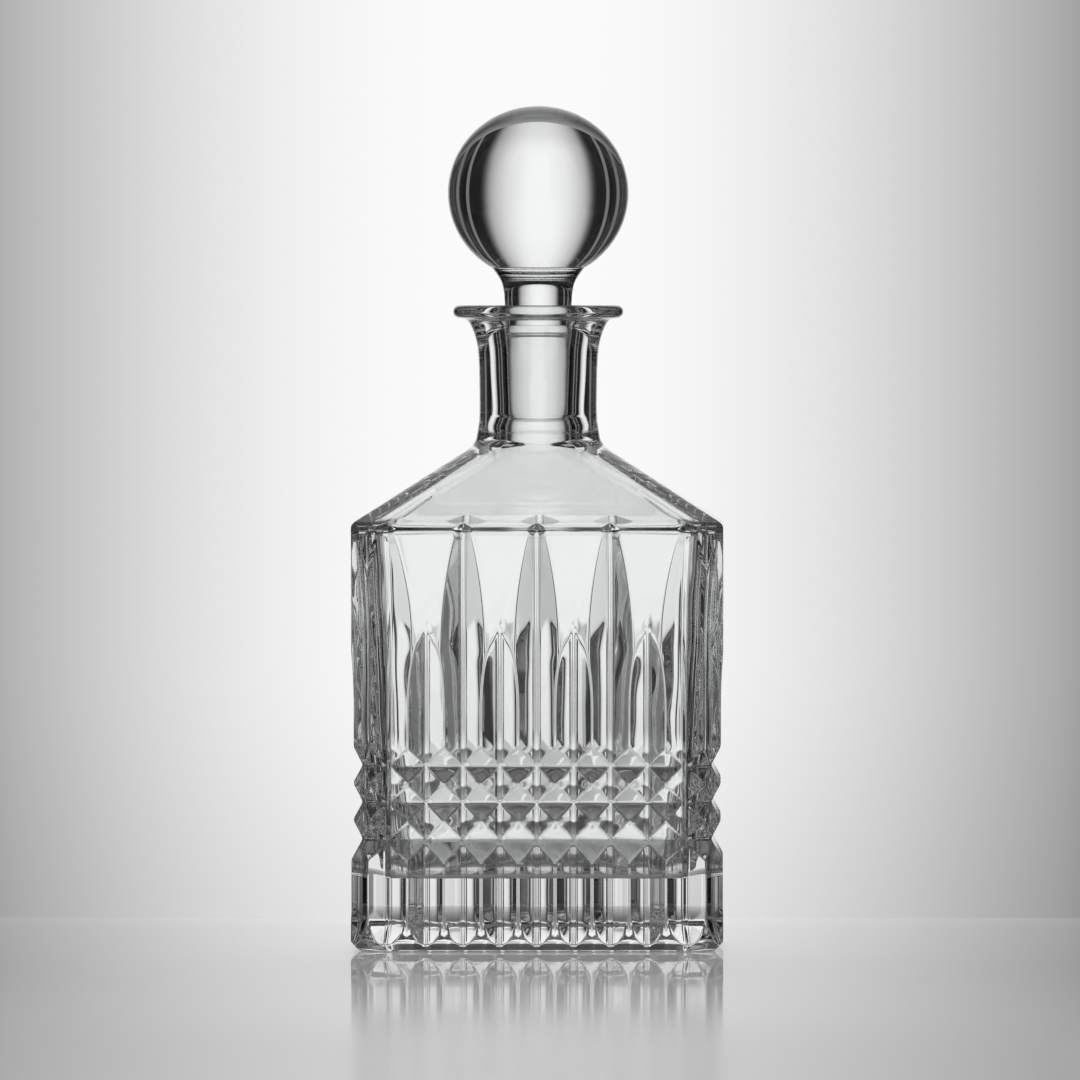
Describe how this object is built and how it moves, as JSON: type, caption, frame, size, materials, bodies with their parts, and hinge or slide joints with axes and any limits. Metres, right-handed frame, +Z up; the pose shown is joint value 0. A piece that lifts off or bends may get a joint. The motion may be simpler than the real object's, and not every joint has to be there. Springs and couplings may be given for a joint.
{
  "type": "cut crystal decanter",
  "caption": "Square cut crystal decanter with bevelled corners, upright V grooves over rows of small pyramids, a rolled lip and a solid ball stopper that lifts out.",
  "frame": {"origin": "middle of the underside of the base", "axes": "+Z up along the axis of the neck, X and Y square to the flat sides"},
  "size_m": [0.104, 0.104, 0.236],
  "materials": {
    "cut_crystal": "clear colourless crystal, cut and polished facets",
    "polished_crystal": "clear colourless crystal, smooth and polished"
  },
  "bodies": {
    "vessel": {"vessel": "cut_crystal"},
    "stopper": {"stopper": "polished_crystal"}
  },
  "joints": [
    {"name": "stopper_lift", "type": "slide", "parent": "vessel", "child": "stopper", "axis": [0, 0, 1], "range_m": [0, 0.04]}
  ]
}
